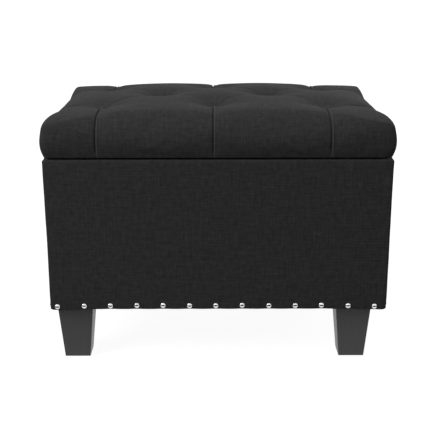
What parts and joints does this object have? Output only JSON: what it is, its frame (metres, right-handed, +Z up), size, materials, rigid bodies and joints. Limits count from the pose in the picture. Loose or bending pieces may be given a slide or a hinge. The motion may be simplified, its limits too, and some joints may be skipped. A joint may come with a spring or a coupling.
{
  "type": "ottoman with storage",
  "caption": "Rectangular storage ottoman: fabric-covered box with nailhead trim on tapered wooden legs, and a padded, diamond-tufted lid on hinges with folding stays.",
  "frame": {"origin": "on the floor, under the middle of the box", "axes": "+X to the right as seen from the front, along the width; +Y from the front to the hinged back; +Z up"},
  "size_m": [0.618, 0.4643, 0.47],
  "materials": {
    "upholstery_fabric": "charcoal linen-look weave",
    "leg_wood": "satin charcoal stain",
    "frame_wood": "raw plywood",
    "foam": "cut upholstery foam",
    "wadding": "polyester wadding",
    "lining_fabric": "black non-woven lining",
    "dust_cloth": "black non-woven dust cloth",
    "nail_chrome": "polished nickel",
    "hardware_steel": "zinc-plated steel",
    "glide_plastic": "black nail-on glide",
    "bumper_rubber": "soft bumper",
    "twine": "waxed nylon twine"
  },
  "bodies": {
    "box": {"back_cover": "upholstery_fabric", "back_left_corner_block": "frame_wood", "back_left_leg": "leg_wood", "back_nails": "nail_chrome", "back_panel": "frame_wood", "back_right_corner_block": "frame_wood", "back_right_leg": "leg_wood", "body_hardware_screws": "hardware_steel", "body_wadding": "wadding", "dust_cover": "dust_cloth", "dust_cover_staples": "hardware_steel", "floor_panel": "frame_wood", "floor_screws": "hardware_steel", "front_cover": "upholstery_fabric", "front_left_corner_block": "frame_wood", "front_left_leg": "leg_wood", "front_nails": "nail_chrome", "front_panel": "frame_wood", "front_right_corner_block": "frame_wood", "front_right_leg": "leg_wood", "hinge_pins": "hardware_steel", "left_cover": "upholstery_fabric", "left_hinge_body_leaf": "hardware_steel", "left_nails": "nail_chrome", "left_panel": "frame_wood", "left_stay_bracket": "hardware_steel", "leg_glides": "glide_plastic", "leg_hanger_bolts": "hardware_steel", "leg_tee_nuts": "hardware_steel", "lining_staples": "hardware_steel", "panel_screws": "hardware_steel", "right_cover": "upholstery_fabric", "right_hinge_body_leaf": "hardware_steel", "right_nails": "nail_chrome", "right_panel": "frame_wood", "right_stay_bracket": "hardware_steel", "stay_body_rivets": "hardware_steel", "storage_lining": "lining_fabric"},
    "lid": {"left_hinge_lid_leaf": "hardware_steel", "left_stay_lid_bracket": "hardware_steel", "lid_board": "frame_wood", "lid_bumpers": "bumper_rubber", "lid_cover": "upholstery_fabric", "lid_foam": "foam", "lid_hardware_screws": "hardware_steel", "lid_lining": "lining_fabric", "lid_staples": "hardware_steel", "lid_wadding": "wadding", "right_hinge_lid_leaf": "hardware_steel", "right_stay_lid_bracket": "hardware_steel", "stay_lid_rivets": "hardware_steel", "tuft_buttons": "upholstery_fabric", "tuft_twines": "twine", "twine_anchors": "hardware_steel"},
    "left_lower_arm": {"left_lower_arm": "hardware_steel", "left_elbow_rivet": "hardware_steel"},
    "right_lower_arm": {"right_lower_arm": "hardware_steel", "right_elbow_rivet": "hardware_steel"},
    "left_upper_arm": {"left_upper_arm": "hardware_steel"},
    "right_upper_arm": {"right_upper_arm": "hardware_steel"}
  },
  "joints": [
    {"name": "lid_hinge", "type": "hinge", "parent": "box", "child": "lid", "pos_m": [0, 0.2313, 0.3815], "axis": [-1, 0, 0], "range_deg": [0, 95]},
    {"name": "left_stay_body_pivot", "type": "hinge", "parent": "box", "child": "left_lower_arm", "pos_m": [-0.2827, 0.1813, 0.2895], "axis": [-1, 0, 0], "range_deg": [0, 95]},
    {"name": "left_stay_lid_pivot", "type": "hinge", "parent": "lid", "child": "left_upper_arm", "pos_m": [-0.2804, 0.0313, 0.3695], "axis": [-1, 0, 0], "range_deg": [-95, 0]},
    {"name": "right_stay_body_pivot", "type": "hinge", "parent": "box", "child": "right_lower_arm", "pos_m": [0.2827, 0.1813, 0.2895], "axis": [-1, 0, 0], "range_deg": [0, 95]},
    {"name": "right_stay_lid_pivot", "type": "hinge", "parent": "lid", "child": "right_upper_arm", "pos_m": [0.2804, 0.0313, 0.3695], "axis": [-1, 0, 0], "range_deg": [-95, 0]}
  ],
  "couplings": [
    {"joint": "left_stay_body_pivot", "follows": "lid_hinge", "ratio": 1},
    {"joint": "left_stay_lid_pivot", "follows": "lid_hinge", "ratio": -1},
    {"joint": "right_stay_body_pivot", "follows": "lid_hinge", "ratio": 1},
    {"joint": "right_stay_lid_pivot", "follows": "lid_hinge", "ratio": -1}
  ]
}
